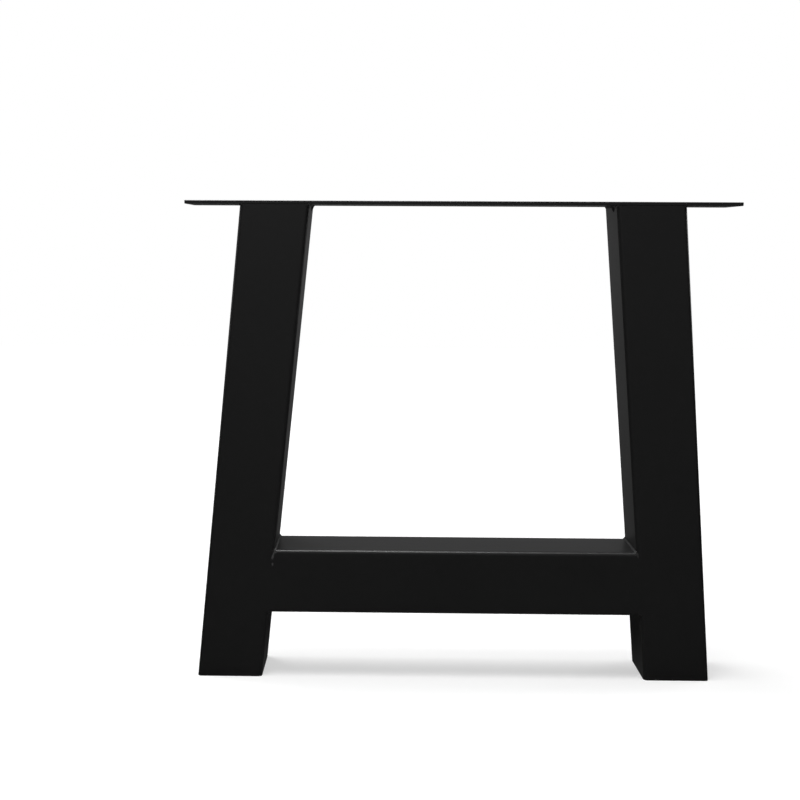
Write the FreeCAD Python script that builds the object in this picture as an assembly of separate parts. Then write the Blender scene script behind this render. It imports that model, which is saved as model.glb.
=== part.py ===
import FreeCAD, Part
import math
import os

# Table leg welded from square steel tube: a flat top plate, two leaning leg tubes and a crossbar.
# Millimetres. X runs along the plate, Y through the frame from front to back, Z up.
# The origin is on the floor, midway between the feet and midway through the tube.

# Frame
overall_height = 720.0
foot_spread = 796.0  # over the outer faces of the legs, at the floor
top_spread = 640.0  # over the outer faces of the legs, under the plate
bar_underside = 104.0  # floor to crossbar

# Square hollow section, the same for legs and crossbar
tube_size = 100.0
tube_wall = 3.0
inner_corner_radius = 3.0

# Top plate, as wide as the tube
plate_thickness = 5.0
plate_overhang = 80.0  # past the outer face of each leg
plate_corner_radius = 3.0
plate_edge_break = 0.6
screw_hole_diameter = 9.0
screw_row_spacing = 60.0  # across the plate
screw_to_leg_gap = 50.0  # past the tube's own width, inwards, to the holes between the legs

# Plates that close the tube mouths at the floor
foot_plate_thickness = 3.0
vent_hole_diameter = 8.0

# Fillet welds, ground flush where they reach the front and back faces
weld_leg = 3.0

# Sizes that follow from these
leg_height = overall_height - plate_thickness
half_size = tube_size / 2
corner_radius = inner_corner_radius + tube_wall
bore_size = tube_size - 2 * tube_wall
lean = math.atan((foot_spread - top_spread) / 2 / leg_height)
joint_width = tube_size / math.cos(lean)  # the tube's width along a cut at the angle of lean
plate_length = top_spread + 2 * plate_overhang
bar_middle = bar_underside + half_size
reach = foot_spread + top_spread + overall_height  # past the whole frame, for cutting blocks

origin = FreeCAD.Vector(0, 0, 0)
along_x = FreeCAD.Vector(1, 0, 0)
along_y = FreeCAD.Vector(0, 1, 0)


def outer_x(z):
    """X of the right leg's outer face at height z."""
    return foot_spread / 2 - z * math.tan(lean)


def middle_x(z):
    return outer_x(z) - joint_width / 2


def inner_x(z):
    return outer_x(z) - joint_width


def rounded_rectangle(width, depth, radius):
    """Face in the XY plane, centred on the origin, with rounded corners."""
    core_width = width - 2 * radius
    core_depth = depth - 2 * radius
    core = Part.makePlane(core_width, core_depth, FreeCAD.Vector(-core_width / 2, -core_depth / 2, 0))
    return core.makeOffset2D(radius)


def prism(width, depth, radius, low, high):
    """Upright solid of rounded section between two heights."""
    section = rounded_rectangle(width, depth, radius)
    section.translate(FreeCAD.Vector(0, 0, low))
    return section.extrude(FreeCAD.Vector(0, 0, high - low))


def level_slab(low, high):
    """Everything between two heights."""
    return Part.makeBox(2 * reach, 2 * reach, high - low, FreeCAD.Vector(-reach, -reach, low))


def face_slab():
    """Everything between the planes of the front and back faces."""
    return Part.makeBox(2 * reach, tube_size, 2 * reach, FreeCAD.Vector(-reach, -half_size, -reach))


def leaning_prism(size, radius):
    """Prism on the right leg's centre line, running past the floor and the plate."""
    slant_height = leg_height / math.cos(lean)
    solid = prism(size, size, radius, -tube_size, slant_height + tube_size)
    solid.rotate(origin, along_y, -math.degrees(lean))
    solid.translate(FreeCAD.Vector(middle_x(0), 0, 0))
    return solid


def leg_envelope():
    """The right leg without its bore, cut level at the floor and under the plate."""
    return leaning_prism(tube_size, corner_radius).common(level_slab(0, leg_height))


def leg_bore():
    """The space inside the right leg, running past both cuts."""
    return leaning_prism(bore_size, inner_corner_radius)


def leg_tube():
    return leg_envelope().cut(leg_bore())


def foot_plate():
    """Closes the tube at the floor, flush with its cut, with a vent hole in the middle."""
    plate = leg_bore().common(level_slab(0, foot_plate_thickness))
    below = FreeCAD.Vector(middle_x(0), 0, -foot_plate_thickness)
    vent = Part.makeCylinder(vent_hole_diameter / 2, 3 * foot_plate_thickness, below)
    return plate.cut(vent)


def bar_prism(size, radius):
    """Prism along X at the crossbar's height, running past the planes of its ends."""
    solid = prism(size, size, radius, -foot_spread / 2, foot_spread / 2)
    solid.rotate(origin, along_y, 90)
    solid.translate(FreeCAD.Vector(0, 0, bar_middle))
    return solid


def space_between_legs():
    """Wedge between the planes of the legs' inner faces."""
    low = inner_x(0)
    high = inner_x(leg_height)
    corners = ((-low, 0), (low, 0), (high, leg_height), (-high, leg_height), (-low, 0))
    outline = Part.makePolygon([FreeCAD.Vector(x, -tube_size, z) for x, z in corners])
    return Part.Face(outline).extrude(FreeCAD.Vector(0, 2 * tube_size, 0))


def bar_envelope():
    """The crossbar without its bore, each end cut straight at the lean of its leg."""
    return bar_prism(tube_size, corner_radius).common(space_between_legs())


def crossbar():
    return bar_envelope().cut(bar_prism(bore_size, inner_corner_radius))


def screw_positions():
    """Centres of the screw holes: in mid overhang past each leg, and between the legs."""
    outer = top_spread / 2 + plate_overhang / 2
    inner = top_spread / 2 - tube_size - screw_to_leg_gap
    columns = (-outer, -inner, inner, outer)
    rows = (-screw_row_spacing / 2, screw_row_spacing / 2)
    return [FreeCAD.Vector(x, y, leg_height - plate_thickness) for x in columns for y in rows]


def top_plate():
    """Flat bar with its long and short edges broken, drilled for the table's screws."""
    plate = prism(plate_length, tube_size, plate_corner_radius, leg_height, overall_height)
    rims = [edge for edge in plate.Edges if edge.BoundBox.ZLength < plate_thickness / 2]
    plate = plate.makeChamfer(plate_edge_break, rims)
    for position in screw_positions():
        hole = Part.makeCylinder(screw_hole_diameter / 2, 3 * plate_thickness, position)
        plate = plate.cut(hole)
    return plate


def weld_collar():
    """Weld metal round a tube that leaves the XY plane upwards, leaning towards +X.

    It swells at 45 degrees to the weld's leg on the plane. The tube's own space is still
    in it, and so is a root below the plane that fills the grooves beside rounded corners.
    """
    inside = corner_radius / 4
    rise = weld_leg + inside
    width = joint_width + 2 * weld_leg
    depth = tube_size + 2 * weld_leg
    foot = rounded_rectangle(width, depth, corner_radius + weld_leg)
    crown = rounded_rectangle(width - 2 * rise, depth - 2 * rise, corner_radius - inside)
    crown.translate(FreeCAD.Vector(rise * math.tan(lean), 0, rise))
    fillet = Part.makeLoft([foot.OuterWire, crown.OuterWire], True, True)
    root = prism(width, depth, corner_radius + weld_leg, -2 * corner_radius, 0)
    return fillet.fuse(root)


def bar_weld():
    """Weld of the crossbar's right end, filling the grooves beside the leg's rounded corners."""
    collar = weld_collar()
    collar.rotate(origin, along_y, -90 - math.degrees(lean))
    collar.translate(FreeCAD.Vector(inner_x(bar_middle), 0, bar_middle))
    return collar.cut(leg_envelope()).cut(bar_envelope()).common(face_slab())


def plate_welds():
    """Fillets between the right leg and the plate, the inner one first."""
    collar = weld_collar()
    collar.rotate(origin, along_x, 180)
    collar.translate(FreeCAD.Vector(middle_x(leg_height), 0, leg_height))
    below_plate = level_slab(0, leg_height)
    ring = collar.cut(leg_envelope()).common(below_plate).common(face_slab())
    return sorted(ring.Solids, key=lambda solid: solid.CenterOfMass.x)


def opposite(shape):
    """The same piece on the left side."""
    return shape.mirror(origin, along_x)


inner_weld, outer_weld = plate_welds()
right_side = {
    "leg": leg_tube(),
    "foot_plate": foot_plate(),
    "bar_weld": bar_weld(),
    "plate_weld_inner": inner_weld,
    "plate_weld_outer": outer_weld,
}
nodes = {"top_plate": top_plate(), "crossbar": crossbar()}
for name, shape in right_side.items():
    nodes["right_" + name] = shape
    nodes["left_" + name] = opposite(shape)

os.makedirs("parts", exist_ok=True)
for name, shape in nodes.items():
    shape.Solids[0].exportStep("parts/" + name + ".step")
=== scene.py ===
import math

import bmesh
import bpy
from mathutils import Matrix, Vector


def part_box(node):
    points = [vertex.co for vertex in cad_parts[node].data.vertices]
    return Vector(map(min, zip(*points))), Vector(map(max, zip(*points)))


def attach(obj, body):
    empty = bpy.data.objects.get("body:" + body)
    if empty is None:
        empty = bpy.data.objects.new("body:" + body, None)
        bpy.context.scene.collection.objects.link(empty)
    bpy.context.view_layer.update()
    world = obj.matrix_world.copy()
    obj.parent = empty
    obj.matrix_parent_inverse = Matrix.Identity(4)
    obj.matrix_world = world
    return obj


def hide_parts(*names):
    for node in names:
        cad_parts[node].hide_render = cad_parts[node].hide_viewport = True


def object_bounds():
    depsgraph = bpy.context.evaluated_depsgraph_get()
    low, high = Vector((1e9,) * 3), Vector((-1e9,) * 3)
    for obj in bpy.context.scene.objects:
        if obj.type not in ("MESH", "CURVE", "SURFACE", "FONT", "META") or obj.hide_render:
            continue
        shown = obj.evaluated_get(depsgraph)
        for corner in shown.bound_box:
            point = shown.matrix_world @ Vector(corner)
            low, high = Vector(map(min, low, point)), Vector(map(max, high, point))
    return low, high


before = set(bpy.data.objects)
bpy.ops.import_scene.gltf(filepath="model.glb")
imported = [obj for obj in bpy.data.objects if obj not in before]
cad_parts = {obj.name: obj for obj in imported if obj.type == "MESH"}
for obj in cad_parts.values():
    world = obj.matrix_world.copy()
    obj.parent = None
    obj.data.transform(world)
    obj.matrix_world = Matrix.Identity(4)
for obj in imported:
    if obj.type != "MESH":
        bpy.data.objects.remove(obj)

# The trestle leg in its finish: satin black powder coat over square tube, with rippled welds.
# Metres, Z up. The plate runs along X and the camera looks along +Y.

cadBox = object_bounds()
collection = bpy.context.scene.collection
mm = 0.001


# Small helpers

def linear(code):
    # sRGB hex, as a paint chart gives it, to the linear colour that a shader takes
    channels = [int(code[i:i + 2], 16) / 255 for i in (1, 3, 5)]
    return [c / 12.92 if c <= 0.04045 else ((c + 0.055) / 1.055) ** 2.4 for c in channels] + [1.0]


def addNode(tree, kind, settings=None, inputs=None):
    # an input takes a value, a socket, or a node, whose first live output is then linked
    node = tree.nodes.new(kind)
    for name, value in (settings or {}).items():
        setattr(node, name, value)
    for name, value in (inputs or {}).items():
        if isinstance(value, bpy.types.Node):
            value = next(output for output in value.outputs if output.enabled)
        if isinstance(value, bpy.types.NodeSocket):
            tree.links.new(value, node.inputs[name])
        else:
            node.inputs[name].default_value = value
    return node


def newMaterial(name):
    material = bpy.data.materials.new(name)
    material.use_nodes = True
    material.node_tree.nodes.clear()
    return material


def polarPoint(azimuth, elevation, distance, target):
    # a place round the object: azimuth 0 is in front of it, 90 to its right
    a, e = math.radians(azimuth), math.radians(elevation)
    away = Vector((math.sin(a) * math.cos(e), -math.cos(a) * math.cos(e), math.sin(e)))
    return Vector(target) + away * distance


def smoothStep(value, low, high):
    share = min(max((value - low) / (high - low), 0.0), 1.0)
    return share * share * (3 - 2 * share)


def fromLine(point, start, end):
    # distance of a point from a stretch between two others
    run = end - start
    share = min(max((point - start).dot(run) / run.length_squared, 0.0), 1.0)
    return (point - start - run * share).length


# Satin black polyester powder coat, sprayed and baked on steel.
# It is a thick, even skin: jet black, half gloss, with a soft orange peel from the melt.
coat = {
    "colour": "#131314",
    "paleColour": "#171717",  # where the film is a little thinner
    "patchSize": 140.0,  # mm, between thin and thick film
    "roughness": 0.40,
    "roughnessSwing": 0.05,
    "ior": 1.5,
    "peelSize": 2.6,  # mm, from hump to hump
    "peelHeight": 0.010,  # mm
    "grainSize": 0.9,  # mm; the real grain is a third of that, too fine to show
    "grainHeight": 0.0025,  # mm
}
# The same coat on unground weld metal, duller there; its greyer colour is a painted highlight on the
# weld's crests
roughWeldWithPaintedHighlight = {
    # painted highlight: grey in place of the coat's black
    "colour": "#4A4A4A",
    "roughness": 0.55,
}


def makeCoat(name):
    material = newMaterial(name)
    tree = material.node_tree
    place = addNode(tree, "ShaderNodeTexCoord").outputs["Object"]
    patches = addNode(tree, "ShaderNodeTexNoise", None,
                      {"Vector": place, "Scale": 1 / (coat["patchSize"] * mm), "Detail": 3.0})
    colour = addNode(tree, "ShaderNodeMix", {"data_type": "RGBA"},
                     {"Factor": patches, 6: linear(coat["colour"]), 7: linear(coat["paleColour"])})
    gloss = addNode(tree, "ShaderNodeMapRange", None,
                    {"Value": patches,
                     "To Min": coat["roughness"] - coat["roughnessSwing"],
                     "To Max": coat["roughness"] + coat["roughnessSwing"]})
    peel = addNode(tree, "ShaderNodeTexNoise", None,
                   {"Vector": place, "Scale": 1 / (coat["peelSize"] * mm), "Detail": 1.0})
    grain = addNode(tree, "ShaderNodeTexNoise", None,
                    {"Vector": place, "Scale": 1 / (coat["grainSize"] * mm), "Detail": 2.0})
    peelBump = addNode(tree, "ShaderNodeBump", None,
                       {"Height": peel, "Distance": coat["peelHeight"] * mm})
    bump = addNode(tree, "ShaderNodeBump", None,
                   {"Height": grain, "Distance": coat["grainHeight"] * mm, "Normal": peelBump})
    shader = addNode(tree, "ShaderNodeBsdfPrincipled", {"name": "coat"},
                     {"Base Color": colour, "Roughness": gloss, "IOR": coat["ior"], "Normal": bump})
    addNode(tree, "ShaderNodeOutputMaterial", None, {"Surface": shader})
    return material


def makeWeldCoatWithPaintedHighlight():
    material = makeCoat("satin_black_powder_coat_on_weld_with_painted_highlight")
    tree = material.node_tree
    shader = tree.nodes["coat"]
    # where the weld was left unground: duller, and greyed by a painted highlight
    asWeldedWithPaintedHighlight = addNode(tree, "ShaderNodeAttribute", {"attribute_name": "asWeldedWithPaintedHighlight"}).outputs["Fac"]
    thickColour = shader.inputs["Base Color"].links[0].from_socket
    thickGloss = shader.inputs["Roughness"].links[0].from_socket
    colour = addNode(tree, "ShaderNodeMix", {"data_type": "RGBA"},
                     {"Factor": asWeldedWithPaintedHighlight, 6: thickColour, 7: linear(roughWeldWithPaintedHighlight["colour"])})
    gloss = addNode(tree, "ShaderNodeMix", None,
                    {"Factor": asWeldedWithPaintedHighlight, 2: thickGloss, 3: roughWeldWithPaintedHighlight["roughness"]})
    tree.links.new(colour.outputs[2], shader.inputs["Base Color"])
    tree.links.new(gloss.outputs[0], shader.inputs["Roughness"])
    return material


blackCoat = makeCoat("satin_black_powder_coat")
weldCoatWithPaintedHighlight = makeWeldCoatWithPaintedHighlight()
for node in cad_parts.values():
    for slot in node.material_slots:
        slot.material = blackCoat
print("coat on", len(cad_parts), "pieces")


# Welds, run by hand and coated over: a rippled bead in each corner
weld = {
    "voxel": 0.45,  # mm, the metal's own facets
    "softening": 2,  # passes that round its borders
    "size": 3.0,  # mm, leg of the fillet
    "ripplePitch": 2.1,  # mm
    "rippleHeight": 0.42,  # mm, from valley to crest
    "rippleBow": 0.9,  # how far a crescent's middle runs ahead, in pitches
    "rippleFade": (-0.05, 0.2),  # ripples grow to their height between these, in sizes from the root
    "crestPower": 0.7,  # under 1 it rounds the crests and sharpens the valleys
    "crestDrop": 0.6,  # share of a ripple that lies below the bead's own surface
    "pitchSway": 2.0,  # pitches that the ripples shift over the whole of the hand's sway
    "wanderSize": 11.0,  # mm, over which the bead swells and thins
    "wander": 0.5,  # mm
    "crispAngle": 0.8,  # radians, edges sharper than this aren't shaded smooth
    "seed": 4.0,
    "seedSteps": (10.0, 7.0),  # for each metre along X and Z, so that no two beads sway alike
    "mergeDistance": 0.001,  # mm, joins the frame's loose triangles
}
# Under the plate a bead thins towards its ends, and a drop hangs from it
plateBead = {
    "taper": 14.0,  # mm
    "taperEnd": 0.3,  # share of the size that is left at an end
    "drop": (2.5, 0.5),  # how far a drop runs down the leg and stands out from it, in more sizes
    "dropWidth": 7.5,  # mm
    "rootFade": 0.15,  # taper and drop grow from nothing over this, in sizes up to the root
    # mm along Y, where each drop hangs
    "dropPlaces": {"right_inner": -20.0, "left_inner": 8.0, "right_outer": 20.0, "left_outer": -6.0},
}
# The crossbar's welds are ground flush with the front and back faces
dressing = {
    "recess": 0.02,  # mm, from the tubes' faces
    "snap": 0.8,  # mm, what lies this near to the face is ground flat with it
    "facing": -0.2,  # but not where the outward share of its normal is less than this
    "spread": 0.55,  # feathers the metal out over the leg's rounded corner, in shares of its width
    "lap": 0.3,  # mm, and under the crossbar's face
    "slope": 0.6,  # the metal's upper and lower ends slope down into the leg's corner, in mm per mm
    "slopeDepth": 0.9,  # and that far in for each mm past the slope's line
    "groove": 0.6,  # mm, depth round what was left unground
    "lump": 0.12,  # mm, height of its ripples
    "lumpPitch": 1.7,  # mm
    "lumpSlant": 0.5,  # mm that a ripple rises for each mm into the leg
    # a mark's fully rough core also carries the full painted highlight
    "core": 0.6,  # share of a mark's width that is left fully rough
    "grooveEnd": 1.5,  # where the groove round a mark ends, in the mark's widths
}
# What the grinder missed at the front: from here to there, how wide to each side, and how rough it
# was left, which is also how strong the painted highlight over it is. A place says how far it is into
# the leg and how far below the crossbar's top. All but the last are in mm.
ungroundWithPaintedHighlight = {
    "left": [((-0.8, 0.8), (2.4, 13.0), 2.1, 1.0), ((1.2, 22.0), (1.0, 23.8), 1.7, 1.0)],
    "right": [((0.3, 1.0), (1.8, 6.0), 1.8, 0.5)],
}


def rippleTree():
    # Works crescents along Y into a weld's bead. Root is the corner's line, and the bead lies
    # between the two directions from it.
    tree = bpy.data.node_groups.new("weldRipples", "GeometryNodeTree")
    sockets = {
        "Root": "Vector", "Along Leg": "Vector", "Along Bar": "Vector", "Size": "Float", "Pitch": "Float",
        "Height": "Float", "Bow": "Float", "Wander Size": "Float", "Wander": "Float", "Seed": "Float",
        "Material": "Material"}
    tree.interface.new_socket("Geometry", in_out="INPUT", socket_type="NodeSocketGeometry")
    for title, kind in sockets.items():
        tree.interface.new_socket(title, in_out="INPUT", socket_type="NodeSocket" + kind)
    tree.interface.new_socket("Geometry", in_out="OUTPUT", socket_type="NodeSocketGeometry")
    given = addNode(tree, "NodeGroupInput").outputs

    # how far out a point is along the leg and along the bar, in sizes
    place = addNode(tree, "GeometryNodeInputPosition")
    fromRoot = addNode(tree, "ShaderNodeVectorMath", {"operation": "SUBTRACT"},
                       {0: place, 1: given["Root"]})
    fadeStart, fadeEnd = weld["rippleFade"]
    shares, fades = [], []
    for direction in ("Along Leg", "Along Bar"):
        out = addNode(tree, "ShaderNodeVectorMath", {"operation": "DOT_PRODUCT"},
                      {0: fromRoot, 1: given[direction]})
        share = addNode(tree, "ShaderNodeMath", {"operation": "DIVIDE"}, {0: out, 1: given["Size"]})
        fade = addNode(tree, "ShaderNodeMapRange", {"interpolation_type": "SMOOTHSTEP"},
                       {"Value": share, "From Min": fadeStart, "From Max": fadeEnd})
        shares.append(share)
        fades.append(fade)
    onBead = addNode(tree, "ShaderNodeMath", {"operation": "MULTIPLY"}, {0: fades[0], 1: fades[1]})

    # the hand's own sway, slow along the bead
    along = addNode(tree, "ShaderNodeSeparateXYZ", None, {"Vector": place}).outputs["Y"]
    slowAlong = addNode(tree, "ShaderNodeMath", {"operation": "DIVIDE"},
                        {0: along, 1: given["Wander Size"]})
    swayAt = addNode(tree, "ShaderNodeCombineXYZ", None, {"X": slowAlong, "Y": given["Seed"]})
    noise = addNode(tree, "ShaderNodeTexNoise", {"noise_dimensions": "2D"},
                    {"Vector": swayAt, "Scale": 1.0, "Detail": 2.0})
    sway = addNode(tree, "ShaderNodeMath", {"operation": "SUBTRACT"}, {0: noise, 1: 0.5})

    # one crescent for each pitch, its middle ahead of its ends
    across = addNode(tree, "ShaderNodeMath", {"operation": "SUBTRACT"}, {0: shares[0], 1: shares[1]})
    bowed = addNode(tree, "ShaderNodeMath", {"operation": "MULTIPLY"}, {0: across, 1: across})
    count = addNode(tree, "ShaderNodeMath", {"operation": "DIVIDE"}, {0: along, 1: given["Pitch"]})
    count = addNode(tree, "ShaderNodeMath", {"operation": "MULTIPLY_ADD"},
                    {0: bowed, 1: given["Bow"], 2: count})
    count = addNode(tree, "ShaderNodeMath", {"operation": "MULTIPLY_ADD"},
                    {0: sway, 1: weld["pitchSway"], 2: count})
    angle = addNode(tree, "ShaderNodeMath", {"operation": "MULTIPLY"}, {0: count, 1: math.pi})
    wave = addNode(tree, "ShaderNodeMath", {"operation": "SINE"}, {0: angle})
    wave = addNode(tree, "ShaderNodeMath", {"operation": "ABSOLUTE"}, {0: wave})
    wave = addNode(tree, "ShaderNodeMath", {"operation": "POWER"}, {0: wave, 1: weld["crestPower"]})
    wave = addNode(tree, "ShaderNodeMath", {"operation": "SUBTRACT"}, {0: wave, 1: weld["crestDrop"]})
    swell = addNode(tree, "ShaderNodeMath", {"operation": "MULTIPLY"}, {0: sway, 1: given["Wander"]})
    lift = addNode(tree, "ShaderNodeMath", {"operation": "MULTIPLY_ADD"},
                   {0: wave, 1: given["Height"], 2: swell})
    lift = addNode(tree, "ShaderNodeMath", {"operation": "MULTIPLY"}, {0: lift, 1: onBead})
    offset = addNode(tree, "ShaderNodeVectorMath", {"operation": "SCALE"},
                     {0: addNode(tree, "GeometryNodeInputNormal"), "Scale": lift})
    rippled = addNode(tree, "GeometryNodeSetPosition", None,
                      {"Geometry": given["Geometry"], "Offset": offset})
    real = addNode(tree, "GeometryNodeRealizeInstances", None, {"Geometry": rippled})
    coated = addNode(tree, "GeometryNodeSetMaterial", None,
                     {"Geometry": real, "Material": given["Material"]})
    addNode(tree, "NodeGroupOutput", None, {"Geometry": coated})
    return tree


ripples = rippleTree()


def addRipples(piece, root, alongLeg, alongBar):
    seedStepX, seedStepZ = weld["seedSteps"]
    values = {
        "Root": root, "Along Leg": alongLeg, "Along Bar": alongBar, "Size": weld["size"] * mm,
        "Pitch": weld["ripplePitch"] * mm, "Height": weld["rippleHeight"] * mm, "Bow": weld["rippleBow"],
        "Wander Size": weld["wanderSize"] * mm, "Wander": weld["wander"] * mm,
        "Seed": weld["seed"] + root.x * seedStepX + root.z * seedStepZ, "Material": weldCoatWithPaintedHighlight}
    modifier = piece.modifiers.new("ripples", "NODES")
    modifier.node_group = ripples
    for item in ripples.interface.items_tree:
        if item.in_out == "INPUT" and item.name in values:
            modifier[item.identifier] = values[item.name]


def settle(piece):
    # what the modifiers make becomes the piece's own mesh
    evaluated = piece.evaluated_get(bpy.context.evaluated_depsgraph_get())
    mesh = bpy.data.meshes.new_from_object(evaluated)
    piece.modifiers.clear()
    piece.data = mesh


def weldMetal(node):
    # a copy of the weld as the frame has it, its triangles merged, remeshed fine enough for ripples
    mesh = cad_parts[node].data.copy()
    merged = bmesh.new()
    merged.from_mesh(mesh)
    bmesh.ops.remove_doubles(merged, verts=merged.verts, dist=weld["mergeDistance"] * mm)
    merged.to_mesh(mesh)
    merged.free()
    piece = bpy.data.objects.new(node + "_bead", mesh)
    collection.objects.link(piece)
    remesh = piece.modifiers.new("metal", "REMESH")
    remesh.mode = "VOXEL"
    remesh.voxel_size = weld["voxel"] * mm
    soften = piece.modifiers.new("soften", "SMOOTH")
    soften.iterations = weld["softening"]
    settle(piece)
    return piece


def placePoints(mesh, places):
    mesh.vertices.foreach_set("co", [value for place in places for value in place])
    mesh.update()


def taperBead(mesh, root, alongLeg, alongBar, dropPlace):
    size = weld["size"] * mm
    fadeStart = -plateBead["rootFade"]
    places = []
    for vertex in mesh.vertices:
        place = vertex.co.copy()
        endShare = smoothStep(barHigh.y - abs(place.y), plateBead["taper"] * mm, 0)
        thinner = endShare * (1 - plateBead["taperEnd"])
        atDrop = smoothStep(abs(place.y - dropPlace * mm), plateBead["dropWidth"] * mm, 0)
        shares = [(vertex.co - root).dot(direction) / size for direction in (alongLeg, alongBar)]
        onBead = smoothStep(shares[0], fadeStart, 0) * smoothStep(shares[1], fadeStart, 0)
        for direction, share, growth in zip((alongLeg, alongBar), shares, plateBead["drop"]):
            place += direction * (size * share * onBead * (growth * atDrop - thinner))
        places.append(place)
    placePoints(mesh, places)


def missed(into, below, marks):
    # how rough a point of the front face was left, from 0 to 1, which is also its share of painted
    # highlight, and how far it lies below the face
    roughness = depth = 0.0
    for start, end, radius, strength in marks:
        away = fromLine(Vector((into, below)), Vector(start), Vector(end)) / radius
        rough = smoothStep(away, 1.0, dressing["core"]) * strength
        ring = smoothStep(away, dressing["core"], 1.0) * smoothStep(away, dressing["grooveEnd"], 1.0)
        down = below + dressing["lumpSlant"] * into
        wave = 0.5 + 0.5 * math.sin(2 * math.pi * down / dressing["lumpPitch"])
        depth = max(depth, ring * dressing["groove"] + rough * wave * dressing["lump"])
        roughness = max(roughness, rough)
    return roughness, depth * mm


def grindFlush(mesh, corner, intoLeg, marks):
    # corner is where the crossbar's top meets the leg
    flush = barHigh.y - dressing["recess"] * mm
    snap = dressing["snap"] * mm
    middle = (barLow.z + barHigh.z) / 2
    places, roughness = [], []
    for vertex in mesh.vertices:
        place = vertex.co.copy()
        side = math.copysign(1, place.y)
        into = max((place - corner).dot(intoLeg), 0.0)
        if abs(place.y) > barHigh.y - snap and vertex.normal.y * side > dressing["facing"]:
            place += intoLeg * (into * dressing["spread"] - dressing["lap"] * mm)
            place.y = side * flush
        elif abs(place.y) > barHigh.y - snap:
            place.y -= side * snap  # the thin feather's underside stays inside the leg

        into = max((place - corner).dot(intoLeg), 0.0)
        pastEnd = abs(place.z - middle) - tubeWidth / 2
        depth = max(pastEnd + into * dressing["slope"], 0.0) * dressing["slopeDepth"]
        rough, hollow = missed(into / mm, (corner.z - place.z) / mm, marks) if side < 0 else (0.0, 0.0)
        place.y = side * min(abs(place.y), flush - depth - hollow)
        places.append(place)
        roughness.append(rough)
    placePoints(mesh, places)
    # the unground share, which also lays on the painted highlight in the weld's coat
    mesh.attributes.new("asWeldedWithPaintedHighlight", "FLOAT", "POINT").data.foreach_set("value", roughness)


def finishWeld(piece, node):
    piece.data.shade_smooth()
    piece.data.set_sharp_from_angle(angle=weld["crispAngle"])
    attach(piece, "root")
    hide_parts(node)
    print(piece.name, len(piece.data.polygons), "faces")


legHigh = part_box("right_leg")[1]
barLow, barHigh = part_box("crossbar")
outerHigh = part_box("right_plate_weld_outer")[1]

# The right leg's outer face runs from the box's low outer corner to the outer weld's root at the plate
tubeWidth = barHigh.z - barLow.z
topOuter = outerHigh.x - weld["size"] * mm
leanTangent = (legHigh.x - topOuter) / legHigh.z
lean = math.atan(leanTangent)
jointWidth = tubeWidth / math.cos(lean)


def innerX(height):
    return legHigh.x - height * leanTangent - jointWidth


for side, sign in (("right", 1), ("left", -1)):
    upLeg = Vector((-sign * math.sin(lean), 0, math.cos(lean)))
    intoLeg = Vector((sign * math.cos(lean), 0, math.sin(lean)))
    inwards = Vector((-sign, 0, 0))

    node = side + "_bar_weld"
    piece = weldMetal(node)
    for height, alongLeg in ((barHigh.z, upLeg), (barLow.z, -upLeg)):
        addRipples(piece, Vector((sign * innerX(height), 0, height)), alongLeg, inwards)
    settle(piece)
    grindFlush(piece.data, Vector((sign * innerX(barHigh.z), 0, barHigh.z)), intoLeg, ungroundWithPaintedHighlight[side])
    finishWeld(piece, node)

    for place, rootX, along in (("inner", innerX(legHigh.z), inwards), ("outer", topOuter, -inwards)):
        node = side + "_plate_weld_" + place
        piece = weldMetal(node)
        root = Vector((sign * rootX, 0, legHigh.z))
        taperBead(piece.data, root, -upLeg, along, plateBead["dropPlaces"][side + "_" + place])
        addRipples(piece, root, -upLeg, along)
        settle(piece)
        finishWeld(piece, node)
print("welds made")


# Pale floor, white surroundings and soft lamps
studio = {
    "floorSize": 12.0,  # m
    "floorColour": "#C4C4C4",
    "floorLift": (0.55, 0.97),  # raises the floor to white for the camera alone, here and far away
    "liftReach": (0.7, 3.0),  # m, where the lift starts to grow and where it is full
    "floorInGloss": (0.10, 0.12),  # what the coat mirrors of it, at the feet and far away
    "glossReach": (0.4, 2.0),  # m, for those two
    "room": "#6D6D6D",  # the room's own light
    "backdrop": "#FFFFFF",
    "backdropInGloss": 0.04,  # share of the white backdrop that shows in the coat
    "darkSides": (0.55, 0.9),  # dark cards stand left and right, from this share of a direction's x on
    "cardsBehind": 0.3,  # m, from the object's middle to theirs
    "sideShare": 0.15,  # of the light that comes past them
}
# Each lamp's place round the object in degrees, its distance and size in metres, and its watts
lamps = {
    "overhead": {"azimuth": -50, "elevation": 78, "distance": 2.3, "size": (1.0, 1.0), "power": 42.0},
    "leftBehind": {"azimuth": -120, "elevation": 60, "distance": 2.3, "size": (1.2, 1.2), "power": 32.0},
    "above": {"azimuth": -22, "elevation": 85, "distance": 2.3, "size": (1.9, 1.2), "power": 7.0},
    "rightBehind": {"azimuth": 115, "elevation": 20, "distance": 2.5, "size": (1.5, 1.2), "power": 14.0},
    "leftLow": {"azimuth": -97, "elevation": 14, "distance": 2.5, "size": (1.5, 1.2), "power": 4.0},
    "front": {"azimuth": -12, "elevation": 18, "distance": 3.2, "size": (1.6, 1.2), "power": 1.5},
}


def seenDirectly(tree):
    # 1 for the camera and through glass
    rays = addNode(tree, "ShaderNodeLightPath").outputs
    return addNode(tree, "ShaderNodeMath", {"operation": "ADD", "use_clamp": True},
                   {0: rays["Is Camera Ray"], 1: rays["Is Transmission Ray"]})


def pastCards(tree, direction):
    # full light ahead, behind and above, and a share of it from the sides
    unit = addNode(tree, "ShaderNodeVectorMath", {"operation": "NORMALIZE"}, {0: direction})
    x = addNode(tree, "ShaderNodeSeparateXYZ", None, {"Vector": unit}).outputs["X"]
    sideways = addNode(tree, "ShaderNodeMath", {"operation": "ABSOLUTE"}, {0: x})
    return addNode(tree, "ShaderNodeMapRange", {"interpolation_type": "SMOOTHSTEP"},
                   {"Value": sideways, "To Min": 1.0, "To Max": studio["sideShare"],
                    "From Min": studio["darkSides"][0], "From Max": studio["darkSides"][1]})


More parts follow.
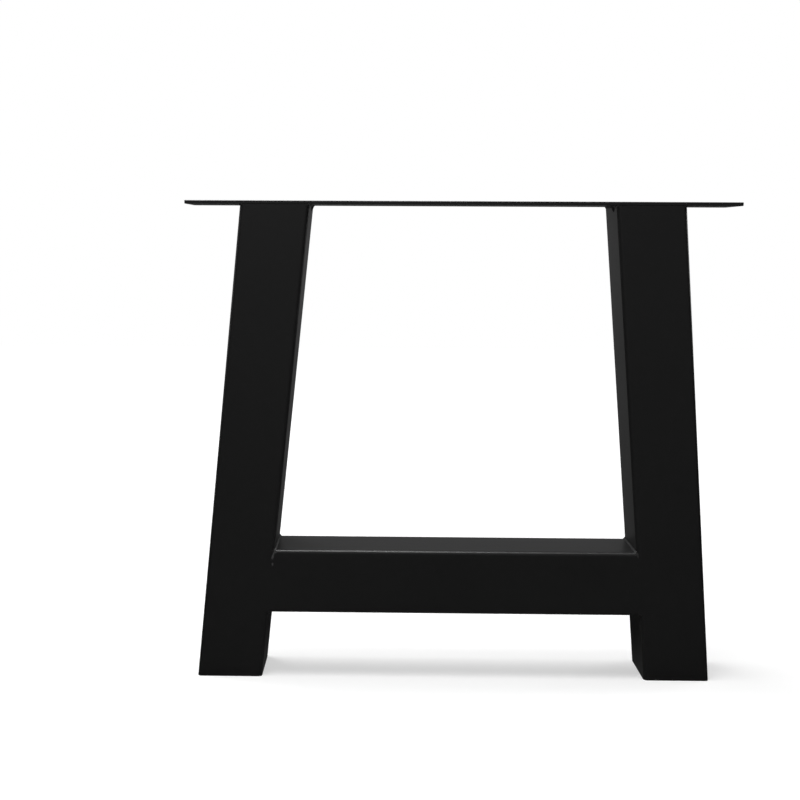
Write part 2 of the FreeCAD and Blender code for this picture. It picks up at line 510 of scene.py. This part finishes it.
def makeWorld():
    world = bpy.data.worlds.new("whiteRoom")
    world.use_nodes = True
    tree = world.node_tree
    tree.nodes.clear()
    lit = pastCards(tree, addNode(tree, "ShaderNodeTexCoord").outputs["Generated"])
    room = addNode(tree, "ShaderNodeMix", {"data_type": "RGBA"},
                   {"Factor": lit, 6: (0, 0, 0, 1), 7: linear(studio["room"])})
    glossy = addNode(tree, "ShaderNodeLightPath").outputs["Is Glossy Ray"]
    inGloss = addNode(tree, "ShaderNodeMath", {"operation": "MULTIPLY"},
                      {0: lit, 1: studio["backdropInGloss"]})
    share = addNode(tree, "ShaderNodeMath", {"operation": "MULTIPLY_ADD"},
                    {0: glossy, 1: inGloss, 2: seenDirectly(tree)})
    colour = addNode(tree, "ShaderNodeMix", {"data_type": "RGBA"},
                     {"Factor": share, 6: room, 7: linear(studio["backdrop"])})
    background = addNode(tree, "ShaderNodeBackground", None, {"Color": colour, "Strength": 1.0})
    addNode(tree, "ShaderNodeOutputWorld", None, {"Surface": background})
    bpy.context.scene.world = world


def makeFloor():
    half = studio["floorSize"] / 2
    mesh = bpy.data.meshes.new("studio_floor")
    corners = [(-half, -half, 0), (half, -half, 0), (half, half, 0), (-half, half, 0)]
    mesh.from_pydata(corners, [], [(0, 1, 2, 3)])
    floor = bpy.data.objects.new("studio_floor", mesh)
    collection.objects.link(floor)
    material = newMaterial("pale_matt_floor")
    tree = material.node_tree
    place = addNode(tree, "ShaderNodeTexCoord").outputs["Object"]
    away = addNode(tree, "ShaderNodeVectorMath", {"operation": "LENGTH"}, {0: place})
    glossy = addNode(tree, "ShaderNodeLightPath").outputs["Is Glossy Ray"]

    # raised to white where it is seen directly, dark where the coat mirrors it
    lift = addNode(tree, "ShaderNodeMapRange", {"interpolation_type": "SMOOTHSTEP"},
                   {"Value": away, "From Min": studio["liftReach"][0], "From Max": studio["liftReach"][1],
                    "To Min": studio["floorLift"][0], "To Max": studio["floorLift"][1]})
    mirrored = addNode(tree, "ShaderNodeMapRange", {"interpolation_type": "SMOOTHSTEP"},
                       {"Value": away,
                        "From Min": studio["glossReach"][0], "From Max": studio["glossReach"][1],
                        "To Min": studio["floorInGloss"][0], "To Max": studio["floorInGloss"][1]})
    fromCards = addNode(tree, "ShaderNodeVectorMath", {"operation": "SUBTRACT"},
                        {0: place, 1: (0, studio["cardsBehind"], 0)})
    mirrored = addNode(tree, "ShaderNodeMath", {"operation": "MULTIPLY"},
                       {0: mirrored, 1: pastCards(tree, fromCards)})
    mirrored = addNode(tree, "ShaderNodeMath", {"operation": "MULTIPLY"}, {0: mirrored, 1: glossy})
    strength = addNode(tree, "ShaderNodeMath", {"operation": "MULTIPLY_ADD"},
                       {0: lift, 1: seenDirectly(tree), 2: mirrored})

    colour = addNode(tree, "ShaderNodeMix", {"data_type": "RGBA"},
                     {"Factor": glossy, 6: linear(studio["floorColour"]), 7: (0, 0, 0, 1)})
    matt = addNode(tree, "ShaderNodeBsdfDiffuse", None, {"Color": colour})
    white = addNode(tree, "ShaderNodeEmission", None,
                    {"Color": linear(studio["backdrop"]), "Strength": strength})
    fromAbove = addNode(tree, "ShaderNodeAddShader", None, {0: matt, 1: white})

    # clear from below, so that the feet show
    clear = addNode(tree, "ShaderNodeBsdfTransparent")
    under = addNode(tree, "ShaderNodeNewGeometry").outputs["Backfacing"]
    both = addNode(tree, "ShaderNodeMixShader", None, {0: under, 1: fromAbove, 2: clear})
    addNode(tree, "ShaderNodeOutputMaterial", None, {"Surface": both})
    mesh.materials.append(material)


def addLamp(name, look, target):
    data = bpy.data.lights.new(name, "AREA")
    data.shape = "RECTANGLE"
    data.size, data.size_y = look["size"]
    data.energy = look["power"]
    lamp = bpy.data.objects.new(name, data)
    lamp.location = polarPoint(look["azimuth"], look["elevation"], look["distance"], target)
    lamp.rotation_euler = (Vector(target) - lamp.location).to_track_quat("-Z", "Y").to_euler()
    collection.objects.link(lamp)


makeWorld()
makeFloor()
centre = (cadBox[0] + cadBox[1]) / 2
for name, look in lamps.items():
    addLamp(name, look, centre)
bpy.context.scene.view_settings.view_transform = "Standard"

camera = {
    "location": (-0.1113, -1.9074, 0.6663),  # m, at the plate's height and left of the middle
    "turn": (76.845, -0.273, 1.070),  # degrees, 13 down from level
    "sensor": 36.0,  # mm across
    "lens": 56.5,  # mm
    "shift": (0.0490, 0.1658),  # the frame was cut from the upper part of the view
}


def makeCamera():
    data = bpy.data.cameras.new("camera")
    data.sensor_width = camera["sensor"]
    data.lens = camera["lens"]
    data.shift_x, data.shift_y = camera["shift"]
    thing = bpy.data.objects.new("camera", data)
    thing.location = camera["location"]
    thing.rotation_euler = [math.radians(angle) for angle in camera["turn"]]
    collection.objects.link(thing)
    bpy.context.scene.camera = thing


makeCamera()
print("studio ready")
